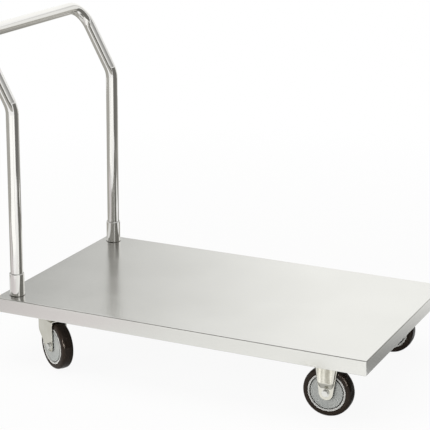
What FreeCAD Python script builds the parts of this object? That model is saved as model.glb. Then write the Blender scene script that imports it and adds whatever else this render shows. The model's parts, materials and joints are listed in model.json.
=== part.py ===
import FreeCAD
import Part
import math
import os

# Steel platform trolley: a folded deck, a plug-in push handle, two fixed and two swivel casters.
# Millimetres. +Z is up, +X points to the front end, +Y to the left of someone at the handle.
# The origin is on the floor, below the middle of the overall length and width.

Vector = FreeCAD.Vector

# Deck sheet
DECK_LENGTH = 1000.0
DECK_WIDTH = 600.0
DECK_TOP = 180.0
EDGE_HEIGHT = 38.0
DECK_SHEET = 1.5
DECK_LIP = 12.0
EDGE_BEND = 2.5

# Push handle and its sockets
TUBE_RADIUS = 16.0
TUBE_WALL = 1.5
POST_SPACING = 516.0
POST_FROM_REAR_EDGE = 40.0
POST_HEIGHT = 488.0
BAR_RISE = 175.5
BAR_SETBACK = 95.0
HANDLE_BEND = 62.0
SOCKET_RADIUS = 19.0
SOCKET_HEIGHT = 59.0
SOCKET_EDGE = 2.0
PLUG_LENGTH = 25.0

# Channels, stiffeners and plates under the deck
CHANNEL_SHEET = 2.0
CROSS_WEB = 106.0
CROSS_FLANGE = 10.0
CROSS_END_GAP = 2.0
STIFFENER_WEB = 30.0
STIFFENER_FLANGE = 12.0
STIFFENER_DEPTH = 20.0
STIFFENER_Y = 110.0
BACKING_LENGTH = 53.0
BACKING_WIDTH = 70.0
BACKING_THICKNESS = 3.0

# Casters
CASTER_HEIGHT = 155.0
WHEEL_RADIUS = 62.5
WHEEL_WIDTH = 32.0
FIXED_FROM_FRONT_EDGE = 115.0
FIXED_Y = 231.5
SWIVEL_FROM_REAR_EDGE = 119.5
SWIVEL_Y = 234.0
SWIVEL_TRAIL = 41.0
SWIVEL_YAW = -32.0
PLATE_LENGTH = 105.0
PLATE_WIDTH = 85.0
PLATE_THICKNESS = 3.0
PLATE_CORNER = 8.0
BOLT_SPACING_X = 80.0
BOLT_SPACING_Y = 60.0

# Fork and bracket legs
LEG_INSIDE = 19.0
LEG_SHEET = 3.0
LEG_BEND = 5.0
FORK_TOP = 130.0
FORK_LEAD = 20.0
FORK_LEAD_END = 90.0
FORK_LEAD_ROUND = 20.0
FORK_BEHIND_AXLE = 11.0
FORK_BELOW_AXLE = 14.5
FORK_FOOT_LENGTH = 27.0
FORK_FOOT_ROUND = 18.0
FORK_HEEL_ROUND = 8.0
BRACKET_NOSE = 18.0
BRACKET_HALF = 29.5
BRACKET_SHOULDER_Z = 140.0
PRESSING_HALF = 29.0
PRESSING_HEIGHT = 10.0
PRESSING_FACE_LOW_Z = 90.0
PRESSING_FOOT_LOW_Z = 74.0
PRESSING_CORNER = 9.0
PRESSING_EDGE = 6.5

# Swivel head
HEAD_RADIUS = 33.0
HEAD_TOP = 143.0
HEAD_RIM = 4.0
HEAD_NECK = 18.0
RACE_BOTTOM = 147.0
RACE_HOLE = 19.0
BALL_RADIUS = 3.0
BALL_CIRCLE = 26.0
BALL_COUNT = 20
KING_PIN_RADIUS = 6.25
KING_PIN_HEAD_RADIUS = 11.0
KING_PIN_HEAD = 4.0
KING_PIN_TAIL = 2.0
KING_PIN_PLAY = 0.5
DUST_RING_LOW = 140.0
DUST_RING_WALL = 1.5
DUST_RING_GAP = 0.5

# Wheels
RIM_RADIUS = 48.0
RIM_INSIDE = 43.5
GUARD_RADIUS = 41.0
GUARD_HOLE = 9.5
GUARD_DEPTH = 2.5
WEB_HALF = 6.0
HUB_RADIUS = 21.0
BEARING_RADIUS = 16.0
BEARING_BORE = 7.55
BEARING_INNER_Y = 4.5
HUB_SHOULDER = 12.0
SLEEVE_RADIUS = 7.5
TREAD_HALF = 8.0
TREAD_CROWN = 0.4
SHOULDER_RADIUS = 54.0

# Fasteners
AXLE_RADIUS = 5.0
AXLE_FLATS = 15.0
AXLE_FLANGE = 10.0
AXLE_FLANGE_THICKNESS = 1.6
AXLE_HEAD = 7.0
AXLE_TAIL = 3.0
BOLT_RADIUS = 4.0
BOLT_FLATS = 13.0
BOLT_HEAD = 5.3
BOLT_TAIL = 2.0
NUT_HEIGHT = 6.5
WASHER_RADIUS = 8.0
WASHER_THICKNESS = 1.6
HEX_TOP_SHARE = 0.95
HEX_CHAMFER = 30.0
HOLE_CLEARANCE = 0.5
SNUG = 0.05

# How far a cutter runs past the face it cuts, and how near an edge lies to the place it is picked by
PAST = 1.0
NEAR = 1.0

# Worked out from the sizes above
TUBE_REAR_OVERHANG = BAR_SETBACK + TUBE_RADIUS - POST_FROM_REAR_EDGE
DECK_CENTRE_X = TUBE_REAR_OVERHANG / 2
DECK_REAR = DECK_CENTRE_X - DECK_LENGTH / 2
DECK_FRONT = DECK_CENTRE_X + DECK_LENGTH / 2
DECK_UNDERSIDE = DECK_TOP - DECK_SHEET
POST_X = DECK_REAR + POST_FROM_REAR_EDGE
POST_Y = POST_SPACING / 2
FIXED_X = DECK_FRONT - FIXED_FROM_FRONT_EDGE
SWIVEL_X = DECK_REAR + SWIVEL_FROM_REAR_EDGE
PLATE_UNDERSIDE = CASTER_HEIGHT - PLATE_THICKNESS
WHEEL_HALF = WHEEL_WIDTH / 2
LEG_OUTSIDE = LEG_INSIDE + LEG_SHEET
BOLT_HOLE = BOLT_RADIUS + HOLE_CLEARANCE
SIDES = {"left": 1, "right": -1}


def box(x_low, x_high, y_low, y_high, z_low, z_high):
    """A box between two corners."""
    corner = Vector(x_low, y_low, z_low)
    return Part.makeBox(x_high - x_low, y_high - y_low, z_high - z_low, corner)


def upright(radius, z_low, z_high, x=0.0, y=0.0):
    """A cylinder along Z."""
    return Part.makeCylinder(radius, z_high - z_low, Vector(x, y, z_low), Vector(0, 0, 1))


def across(radius, y_low, y_high, x=0.0, z=0.0):
    """A cylinder along Y."""
    return Part.makeCylinder(radius, y_high - y_low, Vector(x, y_low, z), Vector(0, 1, 0))


def prism(points, direction):
    """A flat outline of straight sides, pushed along a direction."""
    outline = Part.makePolygon(points + [points[0]])
    return Part.Face(outline).extrude(direction)


def hexagon(across_flats, height):
    """A hexagonal prism that stands on the origin along +Z, flats facing +Y and -Y."""
    corner = across_flats / math.sqrt(3)
    angles = [math.radians(60 * step) for step in range(6)]
    points = [Vector(corner * math.cos(a), corner * math.sin(a), 0) for a in angles]
    return prism(points, Vector(0, 0, height))


def rounded_hexagon(across_flats, height):
    """A hexagonal head with its upper corners turned off."""
    top_radius = HEX_TOP_SHARE * across_flats / 2
    foot_radius = top_radius + height / math.tan(math.radians(HEX_CHAMFER))
    cone = Part.makeCone(foot_radius, top_radius, height)
    return hexagon(across_flats, height).common(cone)


def revolved(edges):
    """A full turn about the Y axis of an outline drawn in the YZ plane."""
    face = Part.Face(Part.Wire(edges))
    return face.revolve(Vector(0, 0, 0), Vector(0, 1, 0), 360)


def ring_outline(points):
    """Straight edges through (y, radius) points, closed."""
    corners = [Vector(0, y, radius) for y, radius in points]
    corners.append(corners[0])
    return [Part.LineSegment(a, b).toShape() for a, b in zip(corners, corners[1:])]


def placed(shape, x, y, yaw=0.0, z=0.0):
    """A copy of a shape turned about Z and moved to its place."""
    copy = shape.copy()
    turn = FreeCAD.Rotation(Vector(0, 0, 1), yaw)
    copy.Placement = FreeCAD.Placement(Vector(x, y, z), turn).multiply(copy.Placement)
    return copy


def mirrored(shape):
    """A copy of a shape on the other side of the XZ plane."""
    return shape.mirror(Vector(0, 0, 0), Vector(0, 1, 0))


def edges_at(shape, test):
    """The edges whose ends and middle all pass a test on their position."""
    found = []
    for edge in shape.Edges:
        middle = edge.valueAt((edge.FirstParameter + edge.LastParameter) / 2)
        points = [vertex.Point for vertex in edge.Vertexes] + [middle]
        if all(test(point) for point in points):
            found.append(edge)
    return found


def upright_edges(shape):
    """The straight edges of a block that run along Z."""
    boxes = [(edge, edge.BoundBox) for edge in shape.Edges]
    return [edge for edge, size in boxes if size.ZLength > size.XLength + size.YLength]


def tangent_point(outside, centre, radius, side):
    """Where a line from a point outside a circle in the XZ plane touches the circle."""
    away_x = outside.x - centre.x
    away_z = outside.z - centre.z
    angle = math.atan2(away_z, away_x) + side * math.acos(radius / math.hypot(away_x, away_z))
    return Vector(centre.x + radius * math.cos(angle), outside.y, centre.z + radius * math.sin(angle))


def rounded_path(corners, radii):
    """A wire of straight runs whose inner corners are rounded by tangent arcs."""
    edges = []
    start = corners[0]
    for before, corner, after, radius in zip(corners, corners[1:], corners[2:], radii):
        back = (before - corner).normalize()
        ahead = (after - corner).normalize()
        half_angle = back.getAngle(ahead) / 2
        reach = radius / math.tan(half_angle)
        inward = (back + ahead).normalize()
        centre = corner + inward * (radius / math.sin(half_angle))
        arc_start = corner + back * reach
        arc_end = corner + ahead * reach
        arc_middle = centre - inward * radius
        edges.append(Part.LineSegment(start, arc_start).toShape())
        edges.append(Part.Arc(arc_start, arc_middle, arc_end).toShape())
        start = arc_end
    edges.append(Part.LineSegment(start, corners[-1]).toShape())
    return Part.Wire(edges)


# Deck and what is welded under it

def deck_sheet():
    """The folded pan: flat top with a hole for each socket, four turned-down edges and their inward lips."""
    low = DECK_TOP - EDGE_HEIGHT
    half = DECK_WIDTH / 2
    outer = box(DECK_REAR, DECK_FRONT, -half, half, low, DECK_TOP)
    bends = edges_at(outer, lambda p: p.z > DECK_TOP - NEAR)
    outer = outer.makeFillet(EDGE_BEND, bends + upright_edges(outer))
    inner_half = half - DECK_SHEET
    inner = box(DECK_REAR + DECK_SHEET, DECK_FRONT - DECK_SHEET, -inner_half, inner_half,
                low + DECK_SHEET, DECK_UNDERSIDE)
    mouth_half = half - DECK_LIP
    mouth = box(DECK_REAR + DECK_LIP, DECK_FRONT - DECK_LIP, -mouth_half, mouth_half,
                low - PAST, low + DECK_SHEET + PAST)
    pan = outer.cut(inner).cut(mouth)
    for side in SIDES.values():
        hole = upright(SOCKET_RADIUS + SNUG, DECK_UNDERSIDE - PAST, DECK_TOP + PAST, POST_X, side * POST_Y)
        pan = pan.cut(hole)
    return pan


def hat_section(length, web, flange, depth):
    """A hat channel along X, hung from z = 0, with its flat web at the bottom."""
    half = web / 2
    brim = half + flange
    sheet = CHANNEL_SHEET
    points = [(-brim, 0), (brim, 0), (brim, -sheet), (half, -sheet), (half, -depth),
              (-half, -depth), (-half, -sheet), (-brim, -sheet)]
    start = -length / 2
    solid = prism([Vector(start, y, z) for y, z in points], Vector(length, 0, 0))
    hollow = box(start, -start, sheet - half, half - sheet, sheet - depth, 0)
    return solid.cut(hollow)


def bolt_places(x, y):
    """The four bolt centres of a caster plate at (x, y)."""
    return [(x + i * BOLT_SPACING_X / 2, y + j * BOLT_SPACING_Y / 2) for i in (-1, 1) for j in (-1, 1)]


def cross_channel(x, caster_y, centre_hole):
    """The channel that carries a pair of caster plates, across the deck at x."""
    depth = DECK_UNDERSIDE - CASTER_HEIGHT
    length = DECK_WIDTH - 2 * (DECK_SHEET + CROSS_END_GAP)
    channel = placed(hat_section(length, CROSS_WEB, CROSS_FLANGE, depth), x, 0, 90, DECK_UNDERSIDE)
    web_top = CASTER_HEIGHT + CHANNEL_SHEET
    for side in SIDES.values():
        for bolt_x, bolt_y in bolt_places(x, side * caster_y):
            hole = upright(BOLT_HOLE, CASTER_HEIGHT - PAST, web_top + PAST, bolt_x, bolt_y)
            channel = channel.cut(hole)
        if centre_hole:
            hole = upright(centre_hole, CASTER_HEIGHT - PAST, web_top + PAST, x, side * caster_y)
            channel = channel.cut(hole)
    return channel


def stiffener(side):
    """A lengthwise hat channel between the two cross channels."""
    reach = CROSS_WEB / 2 + CROSS_FLANGE
    start = SWIVEL_X + reach
    end = FIXED_X - reach
    channel = hat_section(end - start, STIFFENER_WEB, STIFFENER_FLANGE, STIFFENER_DEPTH)
    return placed(channel, (start + end) / 2, side * STIFFENER_Y, 0, DECK_UNDERSIDE)


def backing_plate(side):
    """The plate under the deck that a socket and its post stand on, butted to the rear channel."""
    front = SWIVEL_X - CROSS_WEB / 2 - CROSS_FLANGE
    y = side * POST_Y
    low = DECK_UNDERSIDE - BACKING_THICKNESS
    half = BACKING_WIDTH / 2
    plate = box(front - BACKING_LENGTH, front, y - half, y + half, low, DECK_UNDERSIDE)
    return plate.cut(upright(BOLT_HOLE, low - PAST, DECK_UNDERSIDE + PAST, POST_X, y))


# Push handle

def socket(side):
    """The collar through the deck that a handle post plugs into."""
    collar = upright(SOCKET_RADIUS, -DECK_SHEET, SOCKET_HEIGHT)
    rim = edges_at(collar, lambda p: p.z > SOCKET_HEIGHT - NEAR)
    collar = collar.makeFillet(SOCKET_EDGE, rim)
    collar = collar.cut(upright(TUBE_RADIUS + SNUG, -DECK_SHEET - PAST, SOCKET_HEIGHT + PAST))
    return placed(collar, POST_X, side * POST_Y, 0, DECK_TOP)


def handle_tube():
    """One tube: up the left post, back to the bar, across, and down the right post."""
    bend_z = DECK_TOP + POST_HEIGHT
    bar_x = POST_X - BAR_SETBACK
    bar_z = bend_z + BAR_RISE
    foot = Vector(POST_X, POST_Y, DECK_UNDERSIDE)
    left = [foot, Vector(POST_X, POST_Y, bend_z), Vector(bar_x, POST_Y, bar_z)]
    right = [Vector(point.x, -point.y, point.z) for point in reversed(left)]
    corners = left + right
    path = rounded_path(corners, [HANDLE_BEND] * (len(corners) - 2))

    def swept(radius):
        section = Part.Wire([Part.makeCircle(radius, foot, Vector(0, 0, 1))])
        return path.makePipeShell([section], True, False)

    return swept(TUBE_RADIUS).cut(swept(TUBE_RADIUS - TUBE_WALL))


def handle_plug():
    """The threaded plug in the foot of a handle post."""
    plug = upright(TUBE_RADIUS - TUBE_WALL - SNUG, 0, PLUG_LENGTH)
    return plug.cut(upright(BOLT_RADIUS + SNUG, -PAST, PLUG_LENGTH + PAST))


def washer():
    """A plain washer that hangs from z = 0."""
    disc = upright(WASHER_RADIUS, -WASHER_THICKNESS, 0)
    return disc.cut(upright(BOLT_HOLE, -WASHER_THICKNESS - PAST, PAST))


def bolt(length):
    """A hexagon bolt with its head below z = 0 and its shank above."""
    head = rounded_hexagon(BOLT_FLATS, BOLT_HEAD)
    head = head.mirror(Vector(0, 0, 0), Vector(0, 0, 1))
    return head.fuse(upright(BOLT_RADIUS, -PAST, length))


def weld_nut():
    """A hexagon nut that stands on z = 0."""
    nut = rounded_hexagon(BOLT_FLATS, NUT_HEIGHT)
    return nut.cut(upright(BOLT_RADIUS + SNUG, -PAST, NUT_HEIGHT + PAST))


# Caster pieces, drawn about the floor point below the plate's centre with +X as the rolling way

def caster_plate():
    """The flat top plate with its four bolt holes."""
    half_x = PLATE_LENGTH / 2
    half_y = PLATE_WIDTH / 2
    plate = box(-half_x, half_x, -half_y, half_y, PLATE_UNDERSIDE, CASTER_HEIGHT)
    plate = plate.makeFillet(PLATE_CORNER, upright_edges(plate))
    for x, y in bolt_places(0, 0):
        plate = plate.cut(upright(BOLT_HOLE, PLATE_UNDERSIDE - PAST, CASTER_HEIGHT + PAST, x, y))
    return plate


def leg_pair(side_outline, top):
    """Two legs and the crown that joins them: a bent strip trimmed to a side outline."""
    reach = SWIVEL_TRAIL + WHEEL_RADIUS
    strip = box(-reach, reach, -LEG_OUTSIDE, LEG_OUTSIDE, 0, top)
    outer_bends = edges_at(strip, lambda p: p.z > top - NEAR and abs(p.y) > LEG_INSIDE)
    strip = strip.makeFillet(LEG_BEND, outer_bends)
    crown_underside = top - LEG_SHEET
    gap = box(-reach, reach, -LEG_INSIDE, LEG_INSIDE, 0, crown_underside)
    inner_bends = edges_at(gap, lambda p: p.z > crown_underside - NEAR and abs(p.y) > LEG_INSIDE - NEAR)
    gap = gap.makeFillet(LEG_BEND - LEG_SHEET, inner_bends)
    return strip.cut(gap).common(side_outline)


def nose_outline(half_top, half_z, radius):
    """A fixed leg's side view, as a block across Y: upright, tapered, then a round nose at the axle."""
    depth = PLATE_WIDTH
    axle = Vector(0, depth, WHEEL_RADIUS)
    top_left = Vector(-half_top, depth, CASTER_HEIGHT)
    left = Vector(-half_top, depth, half_z)
    right = Vector(half_top, depth, half_z)
    top_right = Vector(half_top, depth, CASTER_HEIGHT)
    left_touch = tangent_point(left, axle, radius, 1)
    right_touch = tangent_point(right, axle, radius, -1)
    lowest = Vector(0, depth, WHEEL_RADIUS - radius)
    edges = [Part.LineSegment(top_right, top_left).toShape(),
             Part.LineSegment(top_left, left).toShape(),
             Part.LineSegment(left, left_touch).toShape(),
             Part.Arc(left_touch, lowest, right_touch).toShape(),
             Part.LineSegment(right_touch, right).toShape(),
             Part.LineSegment(right, top_right).toShape()]
    return Part.Face(Part.Wire(edges)).extrude(Vector(0, -2 * depth, 0))


def fork_outline():
    """A swivel leg's side view, as a block across Y: upright lead, slope to a foot, upright heel."""
    depth = PLATE_WIDTH
    heel = SWIVEL_TRAIL + FORK_BEHIND_AXLE
    foot_z = WHEEL_RADIUS - FORK_BELOW_AXLE
    corners = [Vector(-FORK_LEAD, depth, FORK_TOP), Vector(-FORK_LEAD, depth, FORK_LEAD_END),
               Vector(heel - FORK_FOOT_LENGTH, depth, foot_z), Vector(heel, depth, foot_z),
               Vector(heel, depth, FORK_TOP)]
    radii = [FORK_LEAD_ROUND, FORK_FOOT_ROUND, FORK_HEEL_ROUND]
    edges = rounded_path(corners, radii).Edges
    edges.append(Part.LineSegment(corners[-1], corners[0]).toShape())
    return Part.Face(Part.Wire(edges)).extrude(Vector(0, -2 * depth, 0))


def pressing(inset, foot, face):
    """The dished pressing on a fixed leg, from its foot on the leg to its flat, round-edged outer face."""
    top = PRESSING_HALF - inset
    low = BRACKET_NOSE - inset
    points = [(-top, PLATE_UNDERSIDE), (top, PLATE_UNDERSIDE), (low, WHEEL_RADIUS), (-low, WHEEL_RADIUS)]
    block = prism([Vector(x, foot, z) for x, z in points], Vector(0, face - foot, 0))
    rise = PRESSING_FACE_LOW_Z - PRESSING_FOOT_LOW_Z
    lift = inset * math.hypot(rise, PRESSING_HEIGHT) / PRESSING_HEIGHT

    def slope_z(y):
        return PRESSING_FOOT_LOW_Z + lift + rise * (y - LEG_OUTSIDE) / PRESSING_HEIGHT

    wedge_points = [(foot - PAST, slope_z(foot - PAST)), (face + PAST, slope_z(face + PAST)),
                    (face + PAST, 0), (foot - PAST, 0)]
    wedge = prism([Vector(-PLATE_LENGTH, y, z) for y, z in wedge_points], Vector(2 * PLATE_LENGTH, 0, 0))
    block = block.cut(wedge)
    corners = [edge for edge in block.Edges if min(edge.BoundBox.YLength, edge.BoundBox.ZLength) > NEAR]
    block = block.makeFillet(PRESSING_CORNER - inset, corners)
    rims = [edge for edge in edges_at(block, lambda p: p.y > face - NEAR)
            if edge.BoundBox.ZMin < PLATE_UNDERSIDE - NEAR]
    return block.makeFillet(PRESSING_EDGE - inset, rims)


def fixed_bracket():
    """Plate, two legs and the dished pressing on the outside of each leg."""
    legs = leg_pair(nose_outline(BRACKET_HALF, BRACKET_SHOULDER_Z, BRACKET_NOSE), CASTER_HEIGHT)
    face = LEG_OUTSIDE + PRESSING_HEIGHT
    raised = pressing(0, LEG_OUTSIDE - PAST, face)
    hollow = pressing(LEG_SHEET, LEG_INSIDE - PAST, face - LEG_SHEET)
    bracket = caster_plate().fuse([legs, raised, mirrored(raised)])
    bracket = bracket.cut(hollow).cut(mirrored(hollow))
    bracket = bracket.cut(across(AXLE_RADIUS + SNUG, -PLATE_WIDTH, PLATE_WIDTH, 0, WHEEL_RADIUS))
    return bracket.removeSplitter()


def swivel_top_plate():
    """Top plate of a swivel caster with the upper ball race pressed into it."""
    race = upright(HEAD_RADIUS, RACE_BOTTOM, PLATE_UNDERSIDE).cut(upright(RACE_HOLE, 0, CASTER_HEIGHT))
    plate = caster_plate().fuse(race)
    plate = plate.cut(ball_groove())
    plate = plate.cut(upright(KING_PIN_RADIUS + SNUG, 0, CASTER_HEIGHT + PAST))
    return plate.removeSplitter()


def ball_groove():
    """The ring-shaped track that the balls run in."""
    centre = Vector(0, 0, (HEAD_TOP + RACE_BOTTOM) / 2)
    return Part.makeTorus(BALL_CIRCLE, BALL_RADIUS + SNUG, centre)


def bearing_balls():
    """The ring of balls between the two races."""
    height = (HEAD_TOP + RACE_BOTTOM) / 2
    balls = []
    for step in range(BALL_COUNT):
        angle = 2 * math.pi * step / BALL_COUNT
        centre = Vector(BALL_CIRCLE * math.cos(angle), BALL_CIRCLE * math.sin(angle), height)
        balls.append(Part.makeSphere(BALL_RADIUS, centre))
    return Part.makeCompound(balls)


def king_pin():
    """The headed pin that hangs the fork from the top plate."""
    crown_underside = FORK_TOP - LEG_SHEET
    head = upright(KING_PIN_HEAD_RADIUS, crown_underside - KING_PIN_HEAD, crown_underside - KING_PIN_PLAY)
    return head.fuse(upright(KING_PIN_RADIUS, crown_underside - PAST, CASTER_HEIGHT + KING_PIN_TAIL))


def dust_ring():
    """The thin ring round the ball races."""
    inside = HEAD_RADIUS + DUST_RING_GAP
    ring = upright(inside + DUST_RING_WALL, DUST_RING_LOW, PLATE_UNDERSIDE)
    return ring.cut(upright(inside, 0, CASTER_HEIGHT))


def swivel_fork():
    """Crown, two legs set back behind the swivel axis, and the dish that holds the lower ball race."""
    crown_underside = FORK_TOP - LEG_SHEET
    rim_low = HEAD_TOP - HEAD_RIM
    dish = Part.makeCone(HEAD_NECK, HEAD_RADIUS, rim_low - crown_underside, Vector(0, 0, crown_underside))
    rim = upright(HEAD_RADIUS, rim_low, HEAD_TOP)
    fork = leg_pair(fork_outline(), FORK_TOP).fuse([dish, rim])
    fork = fork.cut(ball_groove())
    fork = fork.cut(upright(KING_PIN_RADIUS + SNUG, 0, CASTER_HEIGHT))
    fork = fork.cut(across(AXLE_RADIUS + SNUG, -PLATE_WIDTH, PLATE_WIDTH, SWIVEL_TRAIL, WHEEL_RADIUS))
    return fork.removeSplitter()


# Wheel and axle pieces, drawn about the wheel's centre with the axle along Y

def tyre():
    """The tyre, with a slightly crowned tread and round shoulders."""
    tread = WHEEL_RADIUS - TREAD_CROWN
    left_side = Vector(0, -WHEEL_HALF, SHOULDER_RADIUS)
    right_side = Vector(0, WHEEL_HALF, SHOULDER_RADIUS)
    left_tread = Vector(0, -TREAD_HALF, tread)
    right_tread = Vector(0, TREAD_HALF, tread)
    left_foot = Vector(0, -WHEEL_HALF, RIM_RADIUS)
    right_foot = Vector(0, WHEEL_HALF, RIM_RADIUS)
    across_shoulder = WHEEL_HALF - TREAD_HALF
    up_shoulder = tread - SHOULDER_RADIUS
    bulge = math.sqrt(0.5)
    shoulder_y = TREAD_HALF + across_shoulder * bulge
    shoulder_z = SHOULDER_RADIUS + up_shoulder * bulge
    crown = Vector(0, 0, WHEEL_RADIUS)
    edges = [Part.LineSegment(right_foot, left_foot).toShape(),
             Part.LineSegment(left_foot, left_side).toShape(),
             Part.Arc(left_side, Vector(0, -shoulder_y, shoulder_z), left_tread).toShape(),
             Part.Arc(left_tread, crown, right_tread).toShape(),
             Part.Arc(right_tread, Vector(0, shoulder_y, shoulder_z), right_side).toShape(),
             Part.LineSegment(right_side, right_foot).toShape()]
    return revolved(edges)


def wheel_core():
    """Rim, web and hub, with a bore for a bearing on each side of a shoulder."""
    half = [(WHEEL_HALF, RIM_RADIUS - SNUG), (WHEEL_HALF, RIM_INSIDE), (WEB_HALF, RIM_INSIDE),
            (WEB_HALF, HUB_RADIUS), (WHEEL_HALF - GUARD_DEPTH, HUB_RADIUS),
            (WHEEL_HALF - GUARD_DEPTH, BEARING_RADIUS + SNUG), (BEARING_INNER_Y, BEARING_RADIUS + SNUG),
            (BEARING_INNER_Y, HUB_SHOULDER)]
    other_half = [(-y, radius) for y, radius in reversed(half)]
    return revolved(ring_outline(half + other_half))


def wheel_bearings():
    """The two bearings in the hub."""
    outer_y = WHEEL_HALF - GUARD_DEPTH
    points = [(BEARING_INNER_Y, BEARING_BORE), (outer_y, BEARING_BORE), (outer_y, BEARING_RADIUS),
              (BEARING_INNER_Y, BEARING_RADIUS)]
    bearing = revolved(ring_outline(points))
    return Part.makeCompound([bearing, mirrored(bearing)])


def thread_guards():
    """The two round covers that close the wheel's faces."""
    inner_y = WHEEL_HALF - GUARD_DEPTH
    points = [(inner_y, GUARD_HOLE), (WHEEL_HALF, GUARD_HOLE), (WHEEL_HALF, GUARD_RADIUS),
              (inner_y, GUARD_RADIUS)]
    guard = revolved(ring_outline(points))
    return Part.makeCompound([guard, mirrored(guard)])


def axle_sleeve():
    """The sleeve that the axle bolt clamps between the legs."""
    sleeve = across(SLEEVE_RADIUS, -LEG_INSIDE, LEG_INSIDE)
    return sleeve.cut(across(AXLE_RADIUS + SNUG, -WHEEL_WIDTH, WHEEL_WIDTH))


def flanged_hexagon():
    """A flanged hexagon that stands on the right-hand leg and faces -Y."""
    head = rounded_hexagon(AXLE_FLATS, AXLE_HEAD)
    head = head.fuse(upright(AXLE_FLANGE, 0, AXLE_FLANGE_THICKNESS))
    head.rotate(Vector(0, 0, 0), Vector(1, 0, 0), 90)
    head.translate(Vector(0, -LEG_OUTSIDE, 0))
    return head


def axle_bolt():
    """The axle bolt, its head on the right-hand leg."""
    shank = across(AXLE_RADIUS, -LEG_OUTSIDE - PAST, LEG_OUTSIDE + AXLE_HEAD + AXLE_TAIL)
    return flanged_hexagon().fuse(shank)


def axle_nut():
    """The flanged nut on the left-hand leg."""
    return mirrored(flanged_hexagon()).cut(across(AXLE_RADIUS + SNUG, 0, PLATE_WIDTH))


# Nodes

def chassis_nodes():
    """The deck, its channels and the handle."""
    nodes = {"deck_sheet": deck_sheet(),
             "front_cross_channel": cross_channel(FIXED_X, FIXED_Y, 0),
             "rear_cross_channel": cross_channel(SWIVEL_X, SWIVEL_Y, KING_PIN_RADIUS + HOLE_CLEARANCE),
             "handle_tube": handle_tube()}
    for name, side in SIDES.items():
        nodes[name + "_stiffener"] = stiffener(side)
        nodes[name + "_backing_plate"] = backing_plate(side)
        nodes[name + "_socket"] = socket(side)
    return nodes


def fastener_nodes():
    """Groups of like fasteners, each a set of separate solids."""
    posts = [(POST_X, side * POST_Y) for side in SIDES.values()]
    seat = DECK_UNDERSIDE - BACKING_THICKNESS
    head = seat - WASHER_THICKNESS
    handle_bolt = bolt(DECK_UNDERSIDE + PLUG_LENGTH - BOLT_TAIL - head)
    casters = []
    for side in SIDES.values():
        casters.extend(bolt_places(FIXED_X, side * FIXED_Y))
        casters.extend(bolt_places(SWIVEL_X, side * SWIVEL_Y))
    caster_head = PLATE_UNDERSIDE - WASHER_THICKNESS
    nut_seat = CASTER_HEIGHT + CHANNEL_SHEET
    caster_bolt = bolt(nut_seat + NUT_HEIGHT + BOLT_TAIL - caster_head)

    def group(shape, places, z):
        return Part.makeCompound([placed(shape, x, y, 0, z) for x, y in places])

    return {"handle_plugs": group(handle_plug(), posts, DECK_UNDERSIDE),
            "handle_washers": group(washer(), posts, seat),
            "handle_bolts": group(handle_bolt, posts, head),
            "caster_washers": group(washer(), casters, PLATE_UNDERSIDE),
            "caster_bolts": group(caster_bolt, casters, caster_head),
            "caster_weld_nuts": group(weld_nut(), casters, nut_seat)}


def wheel_nodes(corner, x, y, yaw):
    """The wheel and axle pieces of one caster, with the wheel's centre above (x, y)."""
    shapes = {"axle_bolt": axle_bolt(), "axle_nut": axle_nut(), "axle_sleeve": axle_sleeve(),
              "tyre": tyre(), "wheel_core": wheel_core(), "bearings": wheel_bearings(),
              "thread_guards": thread_guards()}
    return {corner + "_" + name: placed(shape, x, y, yaw, WHEEL_RADIUS) for name, shape in shapes.items()}


def caster_nodes():
    """Two fixed casters at the front and two swivel casters at the handle end."""
    nodes = {}
    trail_x = SWIVEL_TRAIL * math.cos(math.radians(SWIVEL_YAW))
    trail_y = SWIVEL_TRAIL * math.sin(math.radians(SWIVEL_YAW))
    chassis_side = {"top_plate": swivel_top_plate(), "king_pin": king_pin(),
                    "bearing_balls": bearing_balls(), "dust_ring": dust_ring()}
    for name, side in SIDES.items():
        front = "front_" + name
        nodes[front + "_bracket"] = placed(fixed_bracket(), FIXED_X, side * FIXED_Y)
        nodes.update(wheel_nodes(front, FIXED_X, side * FIXED_Y, 0))
        rear = "rear_" + name
        for piece, shape in chassis_side.items():
            nodes[rear + "_" + piece] = placed(shape, SWIVEL_X, side * SWIVEL_Y)
        nodes[rear + "_fork"] = placed(swivel_fork(), SWIVEL_X, side * SWIVEL_Y, SWIVEL_YAW)
        nodes.update(wheel_nodes(rear, SWIVEL_X + trail_x, side * SWIVEL_Y + trail_y, SWIVEL_YAW))
    return nodes


def main():
    """Builds every node, tests that it is valid and writes it to a file of its own."""
    os.makedirs("parts", exist_ok=True)
    nodes = chassis_nodes()
    nodes.update(fastener_nodes())
    nodes.update(caster_nodes())
    whole = FreeCAD.BoundBox()
    for name, shape in nodes.items():
        if not shape.isValid():
            raise ValueError(name + " is not a valid shape")
        whole.add(shape.BoundBox)
        shape.exportStep("parts/" + name + ".step")
        print(name, len(shape.Solids), "solids", round(shape.Volume), "mm3")
    print(len(nodes), "nodes, overall", whole)


main()
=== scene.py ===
"""Looks of a flat steel platform trolley: finishes, worked edges, welds, studio and viewpoint."""
import json
import logging
import math
from dataclasses import dataclass, field
from enum import Enum
from typing import ClassVar

import bpy
from mathutils import Matrix, Vector

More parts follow.
